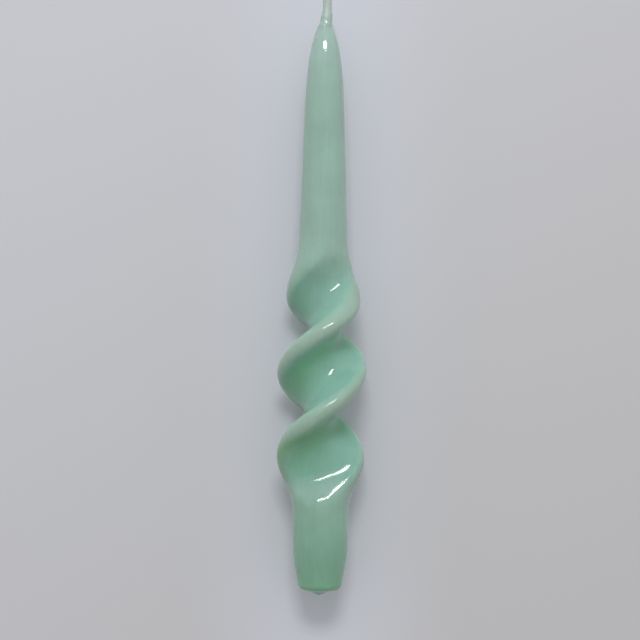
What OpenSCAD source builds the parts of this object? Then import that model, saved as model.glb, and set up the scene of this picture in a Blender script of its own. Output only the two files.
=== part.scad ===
// Twisted taper candle: a dipped candle whose middle was rolled flat while warm and wrung into a helix.
// Built in layers from the wick outwards: wick, priming wax, undyed core, coloured dip, gloss dip.
// Millimetres. Z runs along the candle towards the wick, and -Y is the front.
// Heights named _h are measured up from the flat of the foot.
// The origin is on the axis, half way up the straight end that a holder's cup grips.

/* [Foot and socket end] */
// Diameter of the straight end that goes into a holder
socket_d = 22; // [18:0.5:26]
// Length of the straight end
socket_len = 15; // [8:0.5:25]
// Length of the cone below the straight end
butt_len = 14.3; // [8:0.1:22]
// Half angle of that cone
butt_angle = 9.5; // [3:0.5:14]
// Radius of the rim round the foot
foot_round = 2.4; // [1.8:0.1:4]

/* [Twist] */
// Length of the pressed and twisted stretch, from the socket end to the plain taper
twist_len = 110.8; // [90:0.1:150]
// Width of the flattened blade
blade_w = 35.5; // [26:0.1:44]
// Thickness of the blade at its rounded edges
blade_t = 12.4; // [10.5:0.1:17]
// Depth of those edges, from the rim to where the flat of a face begins
edge_depth = 4.5; // [3:0.1:8]
// How far the middle of each face is hollowed
face_hollow = 0.35; // [0:0.05:1.5]
// How far the blade lies off the axis
blade_offset = 0.9; // [0:0.1:2]
// Length in which the socket end spreads to the full width of the blade
lower_spread = 24; // [16:0.5:35]
// Length in which the blade draws in to the plain taper
upper_spread = 39.8; // [25:0.1:60]
// Length of the bend at each end of a spread
spread_bend = 10; // [4:0.5:14]
// Height at which the pressed faces begin, above the socket end
lower_face = 3.5; // [0:0.1:10]
// Length of the slope from the socket end into a face
lower_run = 15; // [14:0.5:25]
// How much longer that slope is on a face's right, and shorter on its left
lower_slant = 2.4; // [0:0.1:4]
// Height at which the pressed faces end, below the plain taper
upper_face = 6; // [0:0.1:20]
// Share of the pressing that the first dent under the taper takes
dent_share = 0.6; // [0:0.05:1]
// Length of the slope of that dent
dent_run = 15; // [11:0.5:22]
// Length in which the rest of the pressing runs out under the taper
upper_run = 34; // [20:0.5:45]
// Length of the bend at each end of those slopes
face_bend = 5.5; // [2:0.5:9]
// Height of one full turn of the right-handed helix
pitch = 63.9; // [50:0.1:100]
// Height of the blade face that looks straight to the front, above the socket end
face_up = 56.2; // [45:0.1:66]
// Height of the twist's lower end, above the socket end
twist_foot = 23.1; // [12:0.1:30]
// Height of the twist's upper end, below the plain taper
twist_top = 15; // [5:0.1:30]
// Length in which the twist dies away at either end
twist_ease = 8; // [2:0.5:12]

/* [Taper and tip] */
// Length of the plain taper, to the tip of the wax
taper_len = 83.7; // [50:0.1:120]
// Diameter at the foot of the taper
taper_d = 19.2; // [15:0.2:22]
// Diameter that the straight taper would have at the tip, were it not nosed in
nose_d = 13.6; // [10:0.2:17]
// Diameter of the wax at the tip
tip_d = 4.2; // [3.6:0.1:6]
// How late the taper noses in: higher keeps the shoulder fuller
nose_power = 7.2; // [4:0.1:10]

/* [Dips] */
// Thickness of the coloured dip
colour_t = 1; // [0.7:0.1:1.2]
// Thickness of the gloss dip
gloss_t = 0.6; // [0.5:0.1:0.8]
// Diameter of the drip under the foot, at its root
drip_d = 6.2; // [2:0.1:8]
// Length of the drip below the foot
drip_len = 2.7; // [1:0.1:5]
// How far the drip hangs to the left of the axis
drip_left = 0.7; // [0:0.1:4]

/* [Wick] */
// Diameter of the braided cotton
wick_d = 1.8; // [1.2:0.1:2.2]
// Length of wick that stands out of the tip
wick_tail = 13; // [6:0.5:25]
// Bare cotton at the cut end
wick_bare = 1.5; // [0.5:0.5:4]
// Thickness of the priming wax on the wick
priming_t = 0.4; // [0.3:0.05:0.6]
// How far the priming wax swells out where it meets the tip
collar_t = 0.7; // [0.2:0.05:0.8]
// Height of that collar
collar_h = 3; // [1:0.5:6]

/* [Hidden] */
// Circles
$fn = 96;
// Steps round the blade's cross-section and up the twist, on the dips and on the core
dip_round_steps = 36;
dip_rise_steps = 44;
core_round_steps = 24;
core_rise_steps = 30;
// Angle on either side of the blade's middle line that the steps round each edge take up
edge_angle = 60;
// How far the twisted stretch reaches into its round neighbours, and how much smaller it is there
lap = 2;
lap_step = 0.12;
socket_r = socket_d / 2;
taper_r = taper_d / 2;
tip_r = tip_d / 2;
// Heights above the foot
socket_top_h = butt_len + socket_len;
taper_h = socket_top_h + twist_len;
tip_h = taper_h + taper_len;
wick_end_h = tip_h + wick_tail;
face_h = socket_top_h + face_up;
twist_foot_h = socket_top_h + twist_foot;
twist_top_h = taper_h - twist_top;
socket_mid_h = butt_len + socket_len / 2;
// Insets of each layer's outside from the outside of the candle
colour_in = gloss_t;
core_in = gloss_t + colour_t;
wick_r = wick_d / 2;
priming_r = wick_r + priming_t;
// Steps along the curved outlines
rim_steps = 8;
taper_steps = 28;
drip_steps = 6;
// Powers that crowd the taper's steps towards its tip and round the drip
tip_crowding = 1.5;
drip_belly = 0.8;
drip_point = 1.2;

// Ramp from 0 to 1 over a run, straight between two bends
function corner(d, bend) = d <= 0 ? 0 : d >= bend ? d - bend / 2 : d * d / (2 * bend);
function ramp(d, run, bend) = (corner(d, bend) - corner(d - run + bend, bend)) / (run - bend);

// How far the section has spread to the blade's width at a height, and been pressed to its thickness there
function spread_at(h) =
    min(ramp(h - socket_top_h, lower_spread, spread_bend), ramp(taper_h - h, upper_spread, spread_bend));
function pressed_at(h, t) =
    let (d = taper_h - upper_face - h)
    min(ramp(h - socket_top_h - lower_face, lower_run - lower_slant * sin(2 * t), face_bend),
        dent_share * ramp(d, dent_run, face_bend) + (1 - dent_share) * ramp(d, upper_run, face_bend));

// Radius that the candle had before it was pressed
function round_r(h) = socket_r + (taper_r - socket_r) * (h - socket_top_h) / twist_len;

// Length of twist below a height, dying away softly at both ends of the twist
function soft_start(d) = (d + sqrt(d * d + twist_ease * twist_ease)) / 2;
function wrung(h) = soft_start(h - twist_foot_h) - soft_start(h - twist_top_h);
function twist_angle(h) = 360 * (wrung(h) - wrung(face_h)) / pitch;

// One point of the full blade's section, at angle t round it: half ellipses joined by two hollowed faces
function blade_point(t, inset) =
    let (
        up = abs(asin(sin(t))),
        share = (90 - up) / (90 - edge_angle),
        turn = 90 * up / edge_angle,
        half_face = blade_w / 2 - edge_depth,
        half_t = blade_t / 2 - inset,
        on_edge = up < edge_angle,
        x = on_edge ? half_face + (edge_depth - inset) * cos(turn) : half_face * share,
        y = on_edge ? half_t * sin(turn) : half_t - face_hollow * pow(1 - share * share, 2)
    )
    [cos(t) < 0 ? -x : x, sin(t) < 0 ? -y : y];

// The same point at a height: between a circle and the blade, and turned by the twist
function section_point(h, t, inset) =
    let (
        w = spread_at(h),
        f = pressed_at(h, t),
        r = round_r(h) - inset,
        blade = blade_point(t, inset),
        x = (1 - w) * r * cos(t) + w * blade[0],
        y = (1 - f) * r * sin(t) + f * (blade[1] - blade_offset),
        a = twist_angle(h)
    )
    [x * cos(a) - y * sin(a), x * sin(a) + y * cos(a), h];

// The pressed and twisted stretch, lofted ring by ring
module twisted_stretch(inset, sides, rings) {
    heights = [
        socket_top_h - lap,
        for (i = [0 : rings]) socket_top_h + twist_len * i / rings,
        taper_h + lap
    ];
    last = len(heights) - 1;
    // The laps and end rings keep the end sections, a step inside the round neighbours
    points = [
        for (i = [0 : last])
            let (
                h = min(max(heights[i], socket_top_h), taper_h),
                step = (i < 2 || i > last - 2) ? lap_step : 0
            )
            for (j = [0 : sides - 1])
                let (p = section_point(h, 360 * j / sides, inset + step)) [p[0], p[1], heights[i]]
    ];
    walls = [
        for (i = [0 : last - 1], j = [0 : sides - 1])
            let (a = i * sides + j, b = i * sides + (j + 1) % sides, c = a + sides, d = b + sides)
            each [[a, c, b], [b, c, d]]
    ];
    bottom = [for (j = [0 : sides - 1]) j];
    top = [for (j = [sides - 1 : -1 : 0]) last * sides + j];
    polyhedron(points, concat([bottom], walls, [top]), convexity = 8);
}

// Foot, cone and socket end, as half an outline
module foot_outline(inset) {
    rim_r = foot_round - inset;
    rim_x = socket_r - foot_round * cos(butt_angle)
        - tan(butt_angle) * (butt_len - foot_round + foot_round * sin(butt_angle));
    sweep = 90 - butt_angle;
    rim = [
        for (i = [0 : rim_steps])
            let (a = -90 + sweep * i / rim_steps) [rim_x + rim_r * cos(a), foot_round + rim_r * sin(a)]
    ];
    wall_r = socket_r - inset;
    polygon(concat(
        [[0, inset]],
        rim,
        [[wall_r, butt_len + inset * tan(butt_angle / 2)], [wall_r, socket_top_h], [0, socket_top_h]]
    ));
}

// Radius of the taper at a share u of its length, and how fast it draws in there
function taper_at(u) = taper_r - (taper_r - nose_d / 2) * u - (nose_d / 2 - tip_r) * pow(u, nose_power);
function taper_slope(u) =
    (taper_r - nose_d / 2 + (nose_d / 2 - tip_r) * nose_power * pow(u, nose_power - 1)) / taper_len;

// Plain taper and tip, as half an outline
module taper_outline(inset) {
    wall = [
        for (i = [0 : taper_steps])
            let (u = 1 - pow(1 - i / taper_steps, tip_crowding), s = taper_slope(u), n = sqrt(1 + s * s))
            [max(taper_at(u) - inset / n, 0), taper_h + taper_len * u - inset * s / n]
    ];
    polygon(concat([[0, taper_h], [taper_r - inset, taper_h]], [for (i = [1 : taper_steps]) wall[i]],
        [[0, wall[taper_steps][1]]]));
}

// The whole candle, shrunk by an inset
module candle_body(inset, sides, rings) {
    rotate_extrude() foot_outline(inset);
    twisted_stretch(inset, sides, rings);
    rotate_extrude() taper_outline(inset);
}

// Room for the primed wick, from the core's foot upwards
module wick_bore() {
    translate([0, 0, core_in]) cylinder(r = priming_r, h = wick_end_h);
}

// Last drop of the gloss dip, hanging from the foot
module drip() {
    half_drop = [
        for (i = [0 : drip_steps])
            let (u = i / drip_steps) [drip_d / 2 * pow(1 - u, drip_belly), -drip_len * pow(u, drip_point)]
    ];
    translate([-drip_left, 0, 0]) rotate_extrude()
        polygon(concat([[0, gloss_t / 2], [drip_d / 2, gloss_t / 2]], half_drop));
}

// Heights from the foot become heights from the middle of the socket end
module placed() {
    translate([0, 0, -socket_mid_h]) children();
}

module wick() {
    color("ivory") placed()
        translate([0, 0, core_in]) cylinder(r = wick_r, h = wick_end_h - core_in);
}

module wick_priming() {
    collar_r = min(priming_r + collar_t, tip_r);
    priming_top_h = wick_end_h - wick_bare;
    color("lightgray") placed() rotate_extrude() polygon([
        [wick_r, core_in],
        [priming_r, core_in],
        [priming_r, tip_h],
        [collar_r, tip_h],
        [priming_r, tip_h + collar_h],
        [priming_r, priming_top_h - priming_t],
        [wick_r + priming_t / 2, priming_top_h],
        [wick_r, priming_top_h]
    ]);
}

module wax_core() {
    color("mintcream") placed() difference() {
        candle_body(core_in, core_round_steps, core_rise_steps);
        wick_bore();
    }
}

module colour_dip() {
    color("mediumaquamarine") placed() difference() {
        candle_body(colour_in, dip_round_steps, dip_rise_steps);
        candle_body(core_in, core_round_steps, core_rise_steps);
        wick_bore();
    }
}

module gloss_dip() {
    color("darkseagreen") placed() difference() {
        union() {
            candle_body(0, dip_round_steps, dip_rise_steps);
            drip();
        }
        candle_body(colour_in, dip_round_steps, dip_rise_steps);
        wick_bore();
    }
}

wick();
wick_priming();
wax_core();
colour_dip();
gloss_dip();
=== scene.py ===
import math
import bpy
import numpy as np
from mathutils import Matrix, Vector, noise


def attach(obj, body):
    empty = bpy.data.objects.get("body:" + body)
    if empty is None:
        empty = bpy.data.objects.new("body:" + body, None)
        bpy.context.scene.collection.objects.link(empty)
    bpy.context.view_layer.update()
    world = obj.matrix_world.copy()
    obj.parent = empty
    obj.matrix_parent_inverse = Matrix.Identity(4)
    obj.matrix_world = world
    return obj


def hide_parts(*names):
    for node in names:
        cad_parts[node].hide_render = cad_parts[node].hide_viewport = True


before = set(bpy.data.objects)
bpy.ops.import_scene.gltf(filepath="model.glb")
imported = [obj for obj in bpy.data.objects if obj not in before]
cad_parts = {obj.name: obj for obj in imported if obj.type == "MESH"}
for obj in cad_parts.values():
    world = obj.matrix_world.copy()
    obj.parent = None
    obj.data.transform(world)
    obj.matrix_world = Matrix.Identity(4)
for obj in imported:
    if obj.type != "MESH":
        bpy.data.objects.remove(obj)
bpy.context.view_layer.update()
scene = bpy.context.scene
mm = 0.001
footBelowOrigin = 21.8      # mm, foot to the middle of the socket end
print("frame loaded:", len(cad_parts), "nodes")


def clamp(value):
    return min(max(value, 0), 1)


def plateau(value, start, rise, end, fade):
    return clamp((end - value) / fade) * clamp((value - start) / rise)


def hump(value, middle, width):
    return np.exp(-((value - middle) / width) ** 2)


def hexToLinear(code):
    parts = [int(code[i:i + 2], 16) / 255 for i in (1, 3, 5)]
    return tuple(c / 12.92 if c <= 0.04045 else ((c + 0.055) / 1.055) ** 2.4 for c in parts) + (1,)


def addNode(tree, kind, values=None, links=None, **settings):
    node = tree.nodes.new(kind)
    for name, value in settings.items():
        setattr(node, name, value)
    for socket, value in (values or {}).items():
        node.inputs[socket].default_value = value
    for socket, source in (links or {}).items():
        tree.links.new(source, node.inputs[socket])
    return node


def newMaterial(name):
    material = bpy.data.materials.new(name)
    material.use_nodes = True
    material.node_tree.nodes.clear()
    return material, material.node_tree


def objectPlace(tree):
    return addNode(tree, "ShaderNodeTexCoord").outputs["Object"]


def pointAmount(tree, name):
    return addNode(tree, "ShaderNodeAttribute", attribute_name=name).outputs["Fac"]


def noiseAt(tree, place, size, detail):      # size in mm, as in the next two
    values = {"Scale": 1 / (size * mm), "Detail": detail}
    return addNode(tree, "ShaderNodeTexNoise", values, {"Vector": place}).outputs["Fac"]


def streaksAt(tree, place, wide, long, detail):
    scale = (1 / (wide * mm), 1 / (wide * mm), 1 / (long * mm))
    along = addNode(tree, "ShaderNodeMapping", {"Scale": scale}, {"Vector": place}).outputs[0]
    values = {"Scale": 1, "Detail": detail}
    return addNode(tree, "ShaderNodeTexNoise", values, {"Vector": along}).outputs["Fac"]


def cellsAt(tree, place, size):
    values = {"Scale": 1 / (size * mm)}
    return addNode(tree, "ShaderNodeTexVoronoi", values, {"Vector": place}).outputs["Distance"]


def mapRange(tree, source, span, to=(0, 1), **settings):
    values = {1: span[0], 2: span[1], 3: to[0], 4: to[1]}
    return addNode(tree, "ShaderNodeMapRange", values, {0: source}, **settings).outputs[0]


def multiply(tree, first, second):
    return addNode(tree, "ShaderNodeMath", links={0: first, 1: second}, operation="MULTIPLY").outputs[0]


def addShare(tree, share, source, other):      # share of the source, added to the other
    links = {0: source, 2: other}
    return addNode(tree, "ShaderNodeMath", {1: share}, links, operation="MULTIPLY_ADD").outputs[0]


def dotProduct(tree, place, way):
    node = addNode(tree, "ShaderNodeVectorMath", {1: way}, {0: place}, operation="DOT_PRODUCT")
    return node.outputs["Value"]


def mixColour(tree, share, first, second):      # each colour is a hex code or a node's output
    values, links = {}, {0: share}
    for socket, colour in ((6, first), (7, second)):
        if isinstance(colour, str):
            values[socket] = hexToLinear(colour)
        else:
            links[socket] = colour
    return addNode(tree, "ShaderNodeMix", values, links, data_type="RGBA").outputs[2]


def bumpOf(tree, height, deep, strength=1):
    values = {"Strength": strength, "Distance": deep * mm}
    return addNode(tree, "ShaderNodeBump", values, {"Height": height}).outputs[0]


def principled(tree, values, links):
    shader = addNode(tree, "ShaderNodeBsdfPrincipled", values, links)
    addNode(tree, "ShaderNodeOutputMaterial", links={"Surface": shader.outputs[0]})


def newMesh(name, points, faces, material):
    mesh = bpy.data.meshes.new(name)
    mesh.from_pydata([tuple(p * mm) for p in points], [], faces)   # points are in mm
    mesh.update()
    mesh.shade_smooth()
    mesh.materials.append(material)
    piece = bpy.data.objects.new(name, mesh)
    scene.collection.objects.link(piece)
    return piece


def setAmount(piece, name, rings):
    amount = np.concatenate(rings).astype(np.float32)
    piece.data.attributes.new(name, "FLOAT", "POINT").data.foreach_set("value", amount)


def circle(sides):
    return np.linspace(0, 2 * np.pi, sides, endpoint=False)


def ringAt(x, y, h):      # h is counted from the foot's flat
    return np.stack([x, y, np.full_like(x, h - footBelowOrigin)], 1)


def loft(rings):
    sides = len(rings[0])
    faces = []
    for i in range(len(rings) - 1):
        for j in range(sides):
            a, b = i * sides + j, i * sides + (j + 1) % sides
            faces.append((a, b, b + sides, a + sides))
    last = (len(rings) - 1) * sides
    faces.append(tuple(range(sides - 1, -1, -1)))
    faces.append(tuple(last + j for j in range(sides)))
    return np.concatenate(rings), faces


# Camera: straight on to the candle, as it lies on a table and is seen from above
shot = {
    "distance": 700,        # mm, camera to the candle's axis
    "pixel": 0.395,         # mm of candle in one pixel of the frame
    "frameSide": 640,
    "axisColumn": 322.4,    # where the axis crosses the middle row
    "footRow": 587.6,       # row of the foot's flat
    "rollDegrees": 0.58,
    "sensor": 36,           # mm
    "clip": (0.01, 20),     # metres
}


def makeCamera():
    data = bpy.data.cameras.new("camera")
    middle = shot["frameSide"] / 2
    data.sensor_width = shot["sensor"]
    data.lens = data.sensor_width * shot["distance"] / (shot["frameSide"] * shot["pixel"])
    data.clip_start, data.clip_end = shot["clip"]
    camera = bpy.data.objects.new("camera", data)
    scene.collection.objects.link(camera)
    x = (middle - shot["axisColumn"]) * shot["pixel"]
    z = (shot["footRow"] - middle) * shot["pixel"] - footBelowOrigin
    roll = Matrix.Rotation(math.radians(shot["rollDegrees"]), 4, "Z")
    turn = Matrix.Rotation(math.radians(90), 4, "X") @ roll
    camera.matrix_world = Matrix.Translation((x * mm, -shot["distance"] * mm, z * mm)) @ turn
    scene.camera = camera
    print("camera lens", round(data.lens, 1))


# Candle skin: sizes in mm, heights from the foot's flat
candle = {
    "socketRadius": 11, "socketLength": 15, "buttLength": 14.3, "buttAngle": 9.5, "buttBend": 8,
    "footRound": 3.2, "footSag": 0.95, "footStart": 0.2,      # the last is the radius of the first ring
    "twistLength": 110.8, "bladeWidth": 35.3, "bladeThickness": 12.3, "edgeDepth": 4.5, "bladeOffset": 0.9,
    "faceCrown": 0.2, "edgeAngle": 60,
    "lowerSpread": 24, "upperSpread": 39.8, "spreadBend": 10,      # how the blade widens from either end
    "lowerFace": 2.3, "lowerRun": 15.7, "leftSlant": 3.3, "rightSlant": 3.5, "startBend": 5.8, "endBend": 5.4,
    "upperFace": 6.6, "dentShare": 0.63, "dentRun": 16.2, "upperRun": 34.6, "upperBend": 5.5,
    "pitch": 63.9, "faceUp": 56.2, "twistFoot": 23, "twistTop": 15, "twistEase": 8,
    "taperLength": 83.7, "taperRadius": 9.6, "noseRadius": 6.8, "tipRadius": 1.9, "nosePower": 8.2,
    "tipLean": 0.7, "leanBelow": 4, "leanRun": 9,      # the wick does not come out quite on the axis
    "waver": 0.07, "waverLength": 24, "waverInwards": 0.5,      # hand-dipped unevenness
    "sides": 120, "footRings": 12, "socketRings": 24, "twistRings": 230, "taperRings": 110,
    "tipCrowding": 1.5,      # rings come closer together towards the tip
}
socketTop = candle["buttLength"] + candle["socketLength"]
taperFoot = socketTop + candle["twistLength"]
tipHeight = taperFoot + candle["taperLength"]


def corner(d, bend):      # level, then climbing one in one, round over the bend
    return np.where(d <= 0, 0, np.where(d >= bend, d - bend / 2, d * d / (2 * bend)))


def ramp(d, run, bend, endBend=None):      # from 0 to 1 over the run, round at both ends
    last = endBend or bend
    return (corner(d, bend) - corner(d - run + last, last)) / (run - bend / 2 - last / 2)


def pressedAt(h, t):      # 0 where the candle is round, 1 where it is flat
    side = np.sin(2 * t)
    leftMore = candle["leftSlant"] - candle["rightSlant"]
    slant = candle["rightSlant"] * side + leftMore * np.maximum(side, 0) ** 2
    lower = ramp(h - socketTop - candle["lowerFace"], candle["lowerRun"] - slant,
                 candle["startBend"], candle["endBend"])
    d = taperFoot - candle["upperFace"] - h
    dent = candle["dentShare"] * ramp(d, candle["dentRun"], candle["upperBend"])   # the roller's first bite
    rest = (1 - candle["dentShare"]) * ramp(d, candle["upperRun"], candle["upperBend"])
    return np.minimum(lower, dent + rest)


def socketRadiusAt(h):
    drop = corner(candle["buttLength"] + candle["buttBend"] / 2 - h, candle["buttBend"])
    return candle["socketRadius"] - drop * math.tan(math.radians(candle["buttAngle"]))


def twistRadiusAt(h):      # the round that the blade is pressed from
    widening = candle["taperRadius"] - candle["socketRadius"]
    return candle["socketRadius"] + widening * (h - socketTop) / candle["twistLength"]


def taperRadiusAt(u):
    straight = candle["taperRadius"] - (candle["taperRadius"] - candle["noseRadius"]) * u
    return straight - (candle["noseRadius"] - candle["tipRadius"]) * u ** candle["nosePower"]


def leanAt(h):
    u = clamp((h - tipHeight + candle["leanBelow"]) / candle["leanRun"])
    return candle["tipLean"] * u * u * (3 - 2 * u)


def softStart(d):
    return (d + math.sqrt(d * d + candle["twistEase"] ** 2)) / 2


def wrung(h):      # mm of full twist below this height
    return softStart(h - socketTop - candle["twistFoot"]) - softStart(h - taperFoot + candle["twistTop"])


def bladeSection(t):
    up = np.degrees(np.abs(np.arcsin(np.clip(np.sin(t), -1, 1))))
    edge = candle["edgeAngle"]
    halfThick, halfFace = candle["bladeThickness"] / 2, candle["bladeWidth"] / 2 - candle["edgeDepth"]
    turn = np.radians(90 * np.minimum(up / edge, 1))
    share = np.clip((90 - up) / (90 - edge), 0, 1)        # 1 where an edge starts, 0 at the middle of a face
    x = np.where(up < edge, halfFace + candle["edgeDepth"] * np.cos(turn), halfFace * share)
    y = np.where(up < edge, halfThick * np.sin(turn), halfThick + candle["faceCrown"] * (1 - share ** 2) ** 2)
    return x * np.where(np.cos(t) < 0, -1, 1), y * np.where(np.sin(t) < 0, -1, 1), up


# Dye and painted light on the skin, 0 to 1 for each layer. Painted shade lies in the scoops, under the lower
# strand, in two folds and towards the foot, and a painted rim light runs round the foot. Heights are mm above
# the socket end, and angles are degrees on the section: 0 and 180 are the rolled edges, 90 is the middle of a
# face
dyeingAndPaintedLight = {
    "firstAngle": -30, "edgePower": 0.5, "facePower": 2,
    "neckShare": 0.3, "neckTop": 6, "neckRun": 10,      # the faces are paler at the neck
    "scoopShadeHeights": (12, 14, 93, 25), "strandShadeHeights": (8, 14, 45, 15),      # from, rise, to and fade
    # painted shade: a deeper green in the scoop just under each strand
    "scoopShadeAngle": 72, "scoopShadeWidth": 16, "scoopShadePower": 3,
    # painted shade: an olive green sweeping under the lower strand to the left edge
    "strandShadeAngles": (12, 64), "strandShadeTurn": 24, "strandShadeTurnRun": 9, "strandShadeWidths": (42, 34),
    # painted shade: a dark green at the right ends of the two valleys
    "foldShadeHeights": (69.3, 35.8), "foldShadeReach": 4.5, "foldShadeAngle": 106, "foldShadeWidth": 17,
    # painted shade: the wax darker towards the foot, where less light falls
    "footShadeReach": 38, "footShadePower": 0.52, "tipReach": 40,      # mm from the foot, and from the tip
    # painted rim light: paler wax round the foot's rounded edge and the rim of its flat
    "rimReach": 4, "rimStart": 0.75, "rimRise": 0.2,      # mm on the flat, and sines on the round
}


def dyeAndPaintedLightOn(h, t, flat, up, rim):
    above = h - socketTop
    angle = (np.degrees(t) - dyeingAndPaintedLight["firstAngle"]) % 180 + dyeingAndPaintedLight["firstAngle"]
    face = np.clip(up / candle["edgeAngle"], 0, 1)
    neck = clamp((above - dyeingAndPaintedLight["neckTop"]) / dyeingAndPaintedLight["neckRun"])
    deep = dyeingAndPaintedLight["neckShare"] + (1 - dyeingAndPaintedLight["neckShare"]) * neck
    # painted shade in the scoop under each strand
    scoopShade = plateau(above, *dyeingAndPaintedLight["scoopShadeHeights"]) * hump(angle, dyeingAndPaintedLight["scoopShadeAngle"], dyeingAndPaintedLight["scoopShadeWidth"])
    # painted shade under the lower strand, its angle turning with height
    first, last = dyeingAndPaintedLight["strandShadeAngles"]
    strandShadeAt = first + (last - first) * clamp((above - dyeingAndPaintedLight["strandShadeTurn"]) / dyeingAndPaintedLight["strandShadeTurnRun"])
    strandShadeWidth = np.where(angle < strandShadeAt, *dyeingAndPaintedLight["strandShadeWidths"])
    strandShade = plateau(above, *dyeingAndPaintedLight["strandShadeHeights"]) * hump(angle, strandShadeAt, strandShadeWidth)
    # painted shade at the right end of each valley
    foldShade = sum(hump(above, height, dyeingAndPaintedLight["foldShadeReach"]) for height in dyeingAndPaintedLight["foldShadeHeights"])
    return {
        "rolledEdge": flat * (1 - face) ** dyeingAndPaintedLight["edgePower"],
        "pressedFace": deep * flat * face ** dyeingAndPaintedLight["facePower"],
        "paintedScoopShade": scoopShade * flat ** dyeingAndPaintedLight["scoopShadePower"],
        "paintedStrandShade": strandShade * flat,
        "paintedFoldShade": foldShade * flat * hump(angle, dyeingAndPaintedLight["foldShadeAngle"], dyeingAndPaintedLight["foldShadeWidth"]),
        # painted shade, darker towards the foot
        "paintedFootShade": np.full_like(t, clamp(1 - h / dyeingAndPaintedLight["footShadeReach"]) ** dyeingAndPaintedLight["footShadePower"]),
        "paintedRimLight": np.full_like(t, rim),
        "thinTip": np.full_like(t, clamp(1 - (tipHeight - h) / dyeingAndPaintedLight["tipReach"])),
    }


def candleRing(h, radius, rim=0):
    t = circle(candle["sides"])
    wide = min(ramp(h - socketTop, candle["lowerSpread"], candle["spreadBend"]),
               ramp(taperFoot - h, candle["upperSpread"], candle["spreadBend"]))
    flat = pressedAt(h, t)
    bladeX, bladeY, up = bladeSection(t)
    x = (1 - wide) * radius * np.cos(t) + wide * bladeX
    y = (1 - flat) * radius * np.sin(t) + flat * (bladeY - candle["bladeOffset"])
    twisted = wrung(min(max(h, socketTop), taperFoot)) - wrung(socketTop + candle["faceUp"])
    a = 2 * math.pi * twisted / candle["pitch"]
    points = ringAt(x * np.cos(a) - y * np.sin(a) + leanAt(h), x * np.sin(a) + y * np.cos(a), h)
    return points, dyeAndPaintedLightOn(h, t, flat, up, rim)


def candleRings():
    rings = []
    rim, foot = candle["footRound"], -candle["footSag"]
    rimX = socketRadiusAt(foot + rim) - rim
    # the foot's flat and rounded edge carry the painted rim light
    for r in np.linspace(candle["footStart"], rimX, candle["footRings"]):
        rings.append(candleRing(foot, r, clamp(1 - (rimX - r) / dyeingAndPaintedLight["rimReach"]) ** 2))
    for a in np.linspace(-math.pi / 2, 0, candle["footRings"] * 2)[1:]:
        pale = clamp((-math.sin(a) - dyeingAndPaintedLight["rimStart"]) / dyeingAndPaintedLight["rimRise"])
        rings.append(candleRing(foot + rim + rim * math.sin(a), rimX + rim * math.cos(a), pale))
    for h in np.linspace(foot + rim, socketTop, candle["socketRings"])[1:-1]:
        rings.append(candleRing(h, socketRadiusAt(h)))
    for h in np.linspace(socketTop, taperFoot, candle["twistRings"]):
        rings.append(candleRing(h, twistRadiusAt(h)))
    for u in 1 - (1 - np.linspace(0, 1, candle["taperRings"]))[1:] ** candle["tipCrowding"]:
        rings.append(candleRing(taperFoot + candle["taperLength"] * u, taperRadiusAt(u)))
    return rings


def makeCandle(material):
    rings = candleRings()
    points, faces = loft([r[0] for r in rings])
    reach = np.linalg.norm(points[:, :2], axis=1)
    for i, p in enumerate(points):
        swell = noise.noise(Vector(p) / candle["waverLength"]) - candle["waverInwards"]
        points[i, :2] *= 1 + candle["waver"] * swell / max(reach[i], 1)      # mostly inwards
    piece = newMesh("candleSkin", points, faces, material)
    for name in rings[0][1]:
        setAmount(piece, name, [r[1][name] for r in rings])
    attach(piece, "root")
    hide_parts("gloss_dip")
    print("candle skin:", len(faces), "faces")
    return piece


# Colour dip: the dyed coat, which lies under the gloss all over
colourDip = {
    "below": 0.6, "everyRing": 3, "everySide": 2,      # mm under the skin, and how much coarser it is
    "light": "#86B29D", "dark": "#76A48E", "grain": 0.8,
}


def makeColourDip(skin, material):
    below = np.array([v.co / mm - v.normal * colourDip["below"] for v in skin.data.vertices])
    rings = below.reshape(-1, candle["sides"], 3)[:, ::colourDip["everySide"]]
    step = colourDip["everyRing"]
    points, faces = loft(list(rings[:-step:step]) + [rings[-1]])
    piece = newMesh("colourDip", points, faces, material)
    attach(piece, "root")
    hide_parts("colour_dip")
    print("colour dip:", len(faces), "faces")


# Drip: the last drop of the gloss dip, set under the foot
drip = {
    "rootRadius": 4.6, "pointRadius": 0.02, "length": 2.65, "fullness": 0.62,
    "left": 0.25, "forward": 2.5, "sunk": 0.6, "rings": 14, "sides": 40,
}


def makeDrip(material):
    t = circle(drip["sides"])
    rings = []
    for u in np.linspace(0, 1, drip["rings"]):
        r = drip["rootRadius"] * (1 - u) + drip["pointRadius"]
        h = drip["sunk"] if u == 0 else -drip["length"] * u ** drip["fullness"]
        rings.append(ringAt(r * np.cos(t) - drip["left"], r * np.sin(t) - drip["forward"], h))
    points, faces = loft(rings[::-1])
    piece = newMesh("footDrip", points, faces, material)
    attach(piece, "root")
    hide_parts("gloss_dip")
    print("foot drip:", len(faces), "faces")


# Wick: strands of cotton plaited, cut off above the tip
wick = {
    "foot": 1.6, "tail": 13, "frayed": 0.5,      # the strands end below the loose fibres
    "strands": 3, "plaitPeriod": 6.6, "halfWidth": 0.62, "halfDepth": 0.3,
    "strandRadius": 0.44, "yarns": 5, "yarnRidge": 0.06, "yarnPeriod": 2.4, "sides": 24,
    "inside": 3.3, "coarseStep": 1.1, "fineStep": 0.22,      # coarse rings up to where the tip hides them
    "fibres": 21, "fibreRadius": 0.035, "fibreSides": 4, "fibreSunk": 0.2, "fibreAside": (0.05, 0.4),
    "fibreSplay": 0.35, "fibreLength": (0.35, 0.68), "seed": 11,
}
wickEnd = tipHeight + wick["tail"]


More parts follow.
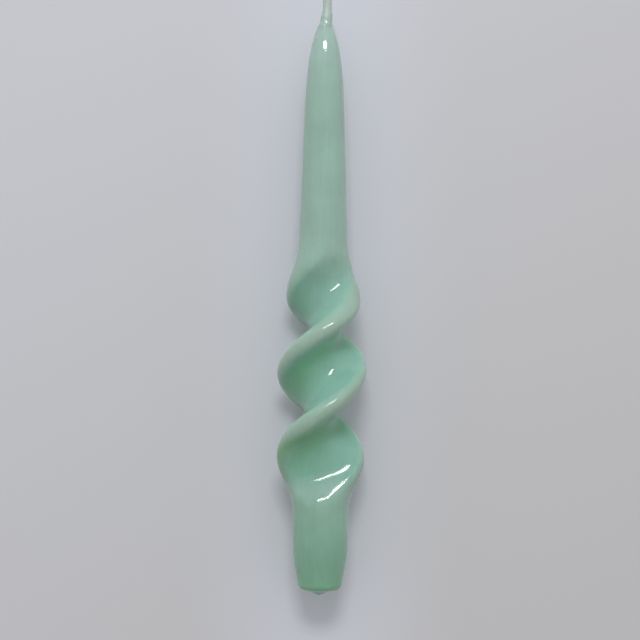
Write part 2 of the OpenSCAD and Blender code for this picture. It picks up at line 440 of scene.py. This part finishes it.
def strandCentre(k, h):
    p = 2 * math.pi * (h / wick["plaitPeriod"] + k / wick["strands"])
    return np.array([wick["halfWidth"] * math.sin(p), wick["halfDepth"] * math.sin(2 * p)])


def wickHeights(top):
    shown = tipHeight - wick["inside"]
    coarse = np.arange(wick["foot"], shown, wick["coarseStep"])
    return np.concatenate([coarse, np.arange(shown, top, wick["fineStep"]), [top]])


def makeBraid(material):
    t = circle(wick["sides"])
    points, faces = [], []
    top = wickEnd - wick["frayed"]
    for k in range(wick["strands"]):
        rings = []
        for h in wickHeights(top):
            lay = wick["yarns"] * t + 2 * np.pi * h / wick["yarnPeriod"]
            r = wick["strandRadius"] + wick["yarnRidge"] * np.cos(lay)
            x, y = strandCentre(k, h)
            rings.append(ringAt(x + leanAt(h) + r * np.cos(t), y + r * np.sin(t), h))
        some, quads = loft(rings)
        faces += [tuple(len(points) + i for i in f) for f in quads]
        points += list(some)
    draws = np.random.default_rng(wick["seed"])
    sides = wick["fibreSides"]
    for i in range(wick["fibres"]):              # loose ends where the wick was cut
        centre = strandCentre(i % wick["strands"], top) + [leanAt(top), 0]
        spread = draws.uniform(0, 2 * np.pi)
        out = np.array([np.cos(spread), np.sin(spread)])
        root = np.append(centre + draws.uniform(*wick["fibreAside"]) * out, top - wick["fibreSunk"])
        splay = out * [draws.uniform(0, wick["fibreSplay"]), draws.uniform(0, wick["fibreSplay"])]
        tip = root + np.append(splay, draws.uniform(*wick["fibreLength"]))
        ringFoot = [root + wick["fibreRadius"] * np.array([np.cos(a), np.sin(a), 0]) for a in circle(sides)]
        start = len(points)
        points += [p - [0, 0, footBelowOrigin] for p in ringFoot + [tip]]
        faces += [(start + j, start + (j + 1) % sides, start + sides) for j in range(sides)]
        faces.append(tuple(start + j for j in range(sides - 1, -1, -1)))
    piece = newMesh("wickBraid", np.array(points), faces, material)
    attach(piece, "root")
    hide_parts("wick")
    print("wick braid:", len(faces), "faces")


# Wax on the wick: heights from the tip, and the wax's radius there
wickCoat = {
    "heights": (-3.2, -2.7, -2, -1.4, -0.9, -0.1, 0.8, 1.6, 2.8, 4, 5.2),
    "radii": (1.27, 3, 2.87, 2.67, 2.51, 2.34, 2.33, 2.28, 2.06, 1.84, 1.72),
    "bare": 1.5, "runOut": 0.8, "plaitShows": 0.15, "sides": 36,
    "greenBelow": 1.2, "greenRun": 6.4,      # the candle's green fades out from below the tip
}


def plaitReach(t, h):
    reach = np.zeros_like(t)
    r = wick["strandRadius"] + wick["yarnRidge"]
    for k in range(wick["strands"]):
        x, y = strandCentre(k, h)
        away, bearing = math.hypot(x, y), math.atan2(y, x)
        across = np.maximum(r * r - (away * np.sin(t - bearing)) ** 2, 0)
        reach = np.maximum(reach, away * np.cos(t - bearing) + np.sqrt(across))
    return reach


def makeWickWax(material):
    t = circle(wickCoat["sides"])
    top = wickEnd - wickCoat["bare"]
    rings, green = [], []
    for h in wickHeights(top):
        above = h - tipHeight
        r = np.full_like(t, np.interp(above, wickCoat["heights"], wickCoat["radii"]))
        if above > 0:
            plait = plaitReach(t, h)
            lumpy = r + wickCoat["plaitShows"] * (plait - plait.mean())
            full = min((top - h) / wickCoat["runOut"], 1)              # runs out on the cotton
            r = np.maximum(plait, plait + full * (lumpy - plait))
        green.append(np.full_like(t, clamp(1 - (above + wickCoat["greenBelow"]) / wickCoat["greenRun"])))
        rings.append(ringAt(r * np.cos(t) + leanAt(h), r * np.sin(t), h))
    points, faces = loft(rings)
    piece = newMesh("wickWax", points, faces, material)
    setAmount(piece, "candleGreen", green)
    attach(piece, "root")
    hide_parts("wick_priming")
    print("wick wax:", len(faces), "faces")


# Paraffin and stearin wax, dyed and dipped: a clear hard skin over cloudy wax that light soaks into.
# The dye looks thin and chalky on the round parts and rolled edges, and deep on the faces that were pressed.
# Some layers are painted light: painted shade in the scoops, under the lower strand, in two folds and towards
# the foot, and a painted rim light round the foot
waxBody = {
    "IOR": 1.44, "Subsurface Weight": 1, "Subsurface Scale": 4 * mm, "Subsurface Radius": (0.6, 1.0, 0.75),
}
wax = {
    "round": "#9AB6A7", "drop": "#6A9C84",
    "layers": {      # laid over the first colour in this order
        # dye, with painted shade and a painted rim light among the layers
        "rolledEdge": "#9CB1A0", "pressedFace": "#85B29F", "paintedScoopShade": "#7BB290", "paintedStrandShade": "#77A37F",
        "paintedFoldShade": "#599E73", "paintedFootShade": "#7CA88C", "thinTip": "#9FB6AA", "paintedRimLight": "#B9D6C0",
    },
    "mottle": 12, "runWide": 1.1, "runLong": 40, "pitCell": 8, "pitRadius": 0.25, "ripple": 5,      # mm
    "bump": 0.012,      # mm
    "mottleSpan": (0.3, 0.7), "mottleTone": (0.94, 1.05), "runSpan": (0.35, 0.65), "runTone": (0.978, 1.018),
    "pitFloor": 0.5, "pitTone": 0.78, "runShare": 0.15, "roughness": (0.3, 0.42),
    "skin": {"Specular IOR Level": 0.02, "Coat Weight": 1, "Coat Roughness": 0.08, "Coat IOR": 1.45},
}


def dippedWax(name, firstColour):
    material, tree = newMaterial(name)
    place = objectPlace(tree)
    dyeAndPaintedLight = firstColour
    for layer, colour in wax["layers"].items():
        dyeAndPaintedLight = mixColour(tree, pointAmount(tree, layer), dyeAndPaintedLight, colour)
    cloud = noiseAt(tree, place, wax["mottle"], detail=3)
    runs = streaksAt(tree, place, wax["runWide"], wax["runLong"], detail=2)
    edge = wax["pitRadius"] / wax["pitCell"]
    cells = cellsAt(tree, place, wax["pitCell"])
    pit = mapRange(tree, cells, (edge * wax["pitFloor"], edge), (wax["pitTone"], 1))
    clouded = mapRange(tree, cloud, wax["mottleSpan"], wax["mottleTone"])
    streaked = mapRange(tree, runs, wax["runSpan"], wax["runTone"])
    shade = multiply(tree, multiply(tree, clouded, streaked), pit)
    shaded = addNode(tree, "ShaderNodeVectorMath", links={0: dyeAndPaintedLight, "Scale": shade}, operation="SCALE")
    rippled = addShare(tree, wax["runShare"], runs, noiseAt(tree, place, wax["ripple"], detail=1))
    bump = bumpOf(tree, multiply(tree, rippled, pit), wax["bump"])
    gloss = mapRange(tree, cloud, wax["mottleSpan"], wax["roughness"])
    principled(tree, {**waxBody, **wax["skin"]},
               {"Base Color": shaded.outputs[0], "Roughness": gloss, "Normal": bump, "Coat Normal": bump})
    return material


# Priming wax soaked into the plait: pale, lumpy and a little see-through, shiny where it joins the candle
priming = {
    "dark": "#A6B0AA", "light": "#BFC4BE", "lump": 0.9, "bump": 0.03,      # mm
    "joint": (0.74, 0.8), "coatRoughness": (0.4, 0.05), "coatWeight": (0.2, 1),
    "skin": {"Roughness": 0.38, "Coat IOR": 1.45},
}


def primedWickWax():
    material, tree = newMaterial("primingWaxOverBraid")
    lumps = noiseAt(tree, objectPlace(tree), priming["lump"], detail=3)
    green = pointAmount(tree, "candleGreen")
    pale = mixColour(tree, lumps, priming["dark"], priming["light"])
    colour = mixColour(tree, green, pale, wax["layers"]["thinTip"])
    principled(tree, {**waxBody, **priming["skin"]}, {
        "Base Color": colour, "Normal": bumpOf(tree, lumps, priming["bump"]),
        "Coat Roughness": mapRange(tree, green, priming["joint"], priming["coatRoughness"]),
        "Coat Weight": mapRange(tree, green, priming["joint"], priming["coatWeight"])})
    return material


# Unbleached cotton yarn, plaited: matt, with fine fibres along the strand
cotton = {
    "dark": "#B7AF99", "light": "#E0DAC8", "fibreWide": 0.12, "fibreLong": 0.9, "bump": 0.05,      # mm
    "skin": {"IOR": 1.53, "Roughness": 0.85, "Sheen Weight": 0.3},
}


def braidedCotton():
    material, tree = newMaterial("braidedCotton")
    fibres = streaksAt(tree, objectPlace(tree), cotton["fibreWide"], cotton["fibreLong"], detail=4)
    colour = mixColour(tree, fibres, cotton["dark"], cotton["light"])
    principled(tree, cotton["skin"], {"Base Color": colour, "Normal": bumpOf(tree, fibres, cotton["bump"])})
    return material


# Inner wax, set in the mould or the bath: cloudy, with the soft crystal grain that stearin gives
innerWax = {
    "cloud": 9, "bump": 0.05, "bumpStrength": 0.5, "crystalShare": 0.4,      # the first two in mm
    "skin": {"IOR": 1.44, "Roughness": 0.5, "Subsurface Weight": 0.8, "Subsurface Scale": 4 * mm},
}


def pouredWax(name, layer):
    material, tree = newMaterial(name)
    place = objectPlace(tree)
    crystal = cellsAt(tree, place, layer["grain"])
    cloud = noiseAt(tree, place, innerWax["cloud"], detail=4)
    both = addShare(tree, innerWax["crystalShare"], crystal, cloud)
    colour = mixColour(tree, both, layer["light"], layer["dark"])
    bump = bumpOf(tree, both, innerWax["bump"], innerWax["bumpStrength"])
    principled(tree, innerWax["skin"], {"Base Color": colour, "Normal": bump})
    return material


# Core: the CAD model's own mesh, undyed wax
core = {"light": "#EFEDE2", "dark": "#DCD8C6", "grain": 1.2}


def dressCore(material):
    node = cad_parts["wax_core"]
    node.data.materials.clear()
    node.data.materials.append(material)
    print("core dressed")


# Table: plain pale board that the blade's edges rest on, seen only from its front
table = {
    "behindAxis": 17.8, "halfSide": 1500, "colour": "#C8C7C8",      # mm
    # painted shade: the board darker down and to the right
    "paintedFalloffColour": "#BFBCBA", "falloffWay": (1, 0, -1), "falloffSpan": (-0.3, 0.14),      # metres down and right
    # painted light: a paler, cooler band beside the candle
    "paintedHaloColour": "#CCCDD2", "haloSpan": (0.062, -0.012),      # metres from the axis
}


# Smooth board with a matt paint, pale. Painted light on it: darker down and to the right, and a paler, cooler
# band beside the candle
def paleTable():
    material, tree = newMaterial("mattPaintedBoard")
    place = objectPlace(tree)
    # painted shade down and to the right, and painted light beside the candle
    far = mapRange(tree, dotProduct(tree, place, table["falloffWay"]), table["falloffSpan"])
    across = addNode(tree, "ShaderNodeSeparateXYZ", links={0: place}).outputs["X"]
    aside = addNode(tree, "ShaderNodeMath", links={0: across}, operation="ABSOLUTE").outputs[0]
    halo = mapRange(tree, aside, table["haloSpan"], interpolation_type="SMOOTHSTEP")
    tone = mixColour(tree, far, table["colour"], table["paintedFalloffColour"])
    colour = mixColour(tree, halo, tone, table["paintedHaloColour"])
    front = addNode(tree, "ShaderNodeBsdfDiffuse", links={"Color": colour}).outputs[0]
    back = addNode(tree, "ShaderNodeBsdfTransparent").outputs[0]
    side = addNode(tree, "ShaderNodeNewGeometry").outputs["Backfacing"]
    both = addNode(tree, "ShaderNodeMixShader", links={0: side, 1: front, 2: back})
    addNode(tree, "ShaderNodeOutputMaterial", links={"Surface": both.outputs[0]})
    return material


def makeStage(material):
    y, half = table["behindAxis"], table["halfSide"]
    corners = np.array([(-half, y, -half), (half, y, -half), (half, y, half), (-half, y, half)])
    board = newMesh("tableTop", corners, [(0, 1, 2, 3)], material)
    board.visible_diffuse = False     # the candle's back stays lit in the other views
    board.visible_shadow = False
    board.visible_transmission = False
    print("table", y, "mm behind the axis")


# Lights: one lamp shades the candle, and a longer one beside it shows only in the gloss. A small one is over
# the tip. Two more light the back, in a room that is brighter above and in front
lights = {
    "lamp": {"elevation": 36, "azimuth": 0, "far": 3.0, "size": (0.9, 0.6),
             "watts": 32, "colour": "#F4F8FF", "shows": "shade"},
    "glint": {"elevation": 35.4, "azimuth": -1, "far": 3.0, "size": (1.4, 0.34),
              "watts": 42, "colour": "#FFFFFF", "shows": "gloss"},
    "overTip": {"elevation": 55, "azimuth": 0, "far": 0.6, "size": (0.5, 0.4),
                "watts": 0.45, "colour": "#F6FAFF", "shows": "shade"},
    "back": {"elevation": 25, "azimuth": 180, "far": 1.5, "size": (1.2, 1.2),
             "watts": 12, "colour": "#F2F6FF", "shows": "both"},
    "backGlint": {"elevation": 35.5, "azimuth": 178, "far": 3.0, "size": (1.4, 0.34),
                  "watts": 42, "colour": "#FFFFFF", "shows": "gloss"},
}
room = {
    "bright": ("#F6F9FF", 0.86), "dim": ("#EAD9C0", 0.14), "towards": (0, -0.72, 0.69),
    "aim": (0, 0, 0.08),      # metres, the point on the axis that the lamps look at
}


def makeRoom():
    world = bpy.data.worlds.new("room")
    scene.world = world
    world.use_nodes = True
    tree = world.node_tree
    tree.nodes.clear()
    way = addNode(tree, "ShaderNodeTexCoord").outputs["Generated"]
    share = mapRange(tree, dotProduct(tree, way, room["towards"]), (-1, 1))
    sides = {0: share}
    for socket, (colour, level) in ((1, room["dim"]), (2, room["bright"])):
        values = {"Color": hexToLinear(colour), "Strength": level}
        sides[socket] = addNode(tree, "ShaderNodeBackground", values).outputs[0]
    both = addNode(tree, "ShaderNodeMixShader", links=sides)
    addNode(tree, "ShaderNodeOutputWorld", links={"Surface": both.outputs[0]})


def makeLights():
    for name, lamp in lights.items():
        data = bpy.data.lights.new(name, "AREA")
        data.shape = "RECTANGLE"
        data.size, data.size_y = lamp["size"]
        data.energy = lamp["watts"]
        data.color = hexToLinear(lamp["colour"])[:3]
        el, az = math.radians(lamp["elevation"]), math.radians(lamp["azimuth"])
        towards = Vector((math.sin(az) * math.cos(el), -math.cos(az) * math.cos(el), math.sin(el)))
        piece = bpy.data.objects.new(name, data)
        piece.visible_glossy = lamp["shows"] != "shade"
        piece.visible_diffuse = lamp["shows"] != "gloss"
        piece.location = Vector(room["aim"]) + lamp["far"] * towards
        piece.rotation_euler = towards.to_track_quat("Z", "Y").to_euler()
        scene.collection.objects.link(piece)
    print("lights:", len(lights), "lamps and the room")


scene.view_settings.view_transform = "Standard"
makeCamera()
skin = makeCandle(dippedWax("dippedGlossWax", wax["round"]))
makeColourDip(skin, pouredWax("dyedDippedWax", colourDip))
makeDrip(dippedWax("pooledDripWax", wax["drop"]))
makeBraid(braidedCotton())
makeWickWax(primedWickWax())
dressCore(pouredWax("undyedPouredWax", core))
makeStage(paleTable())
makeRoom()
makeLights()
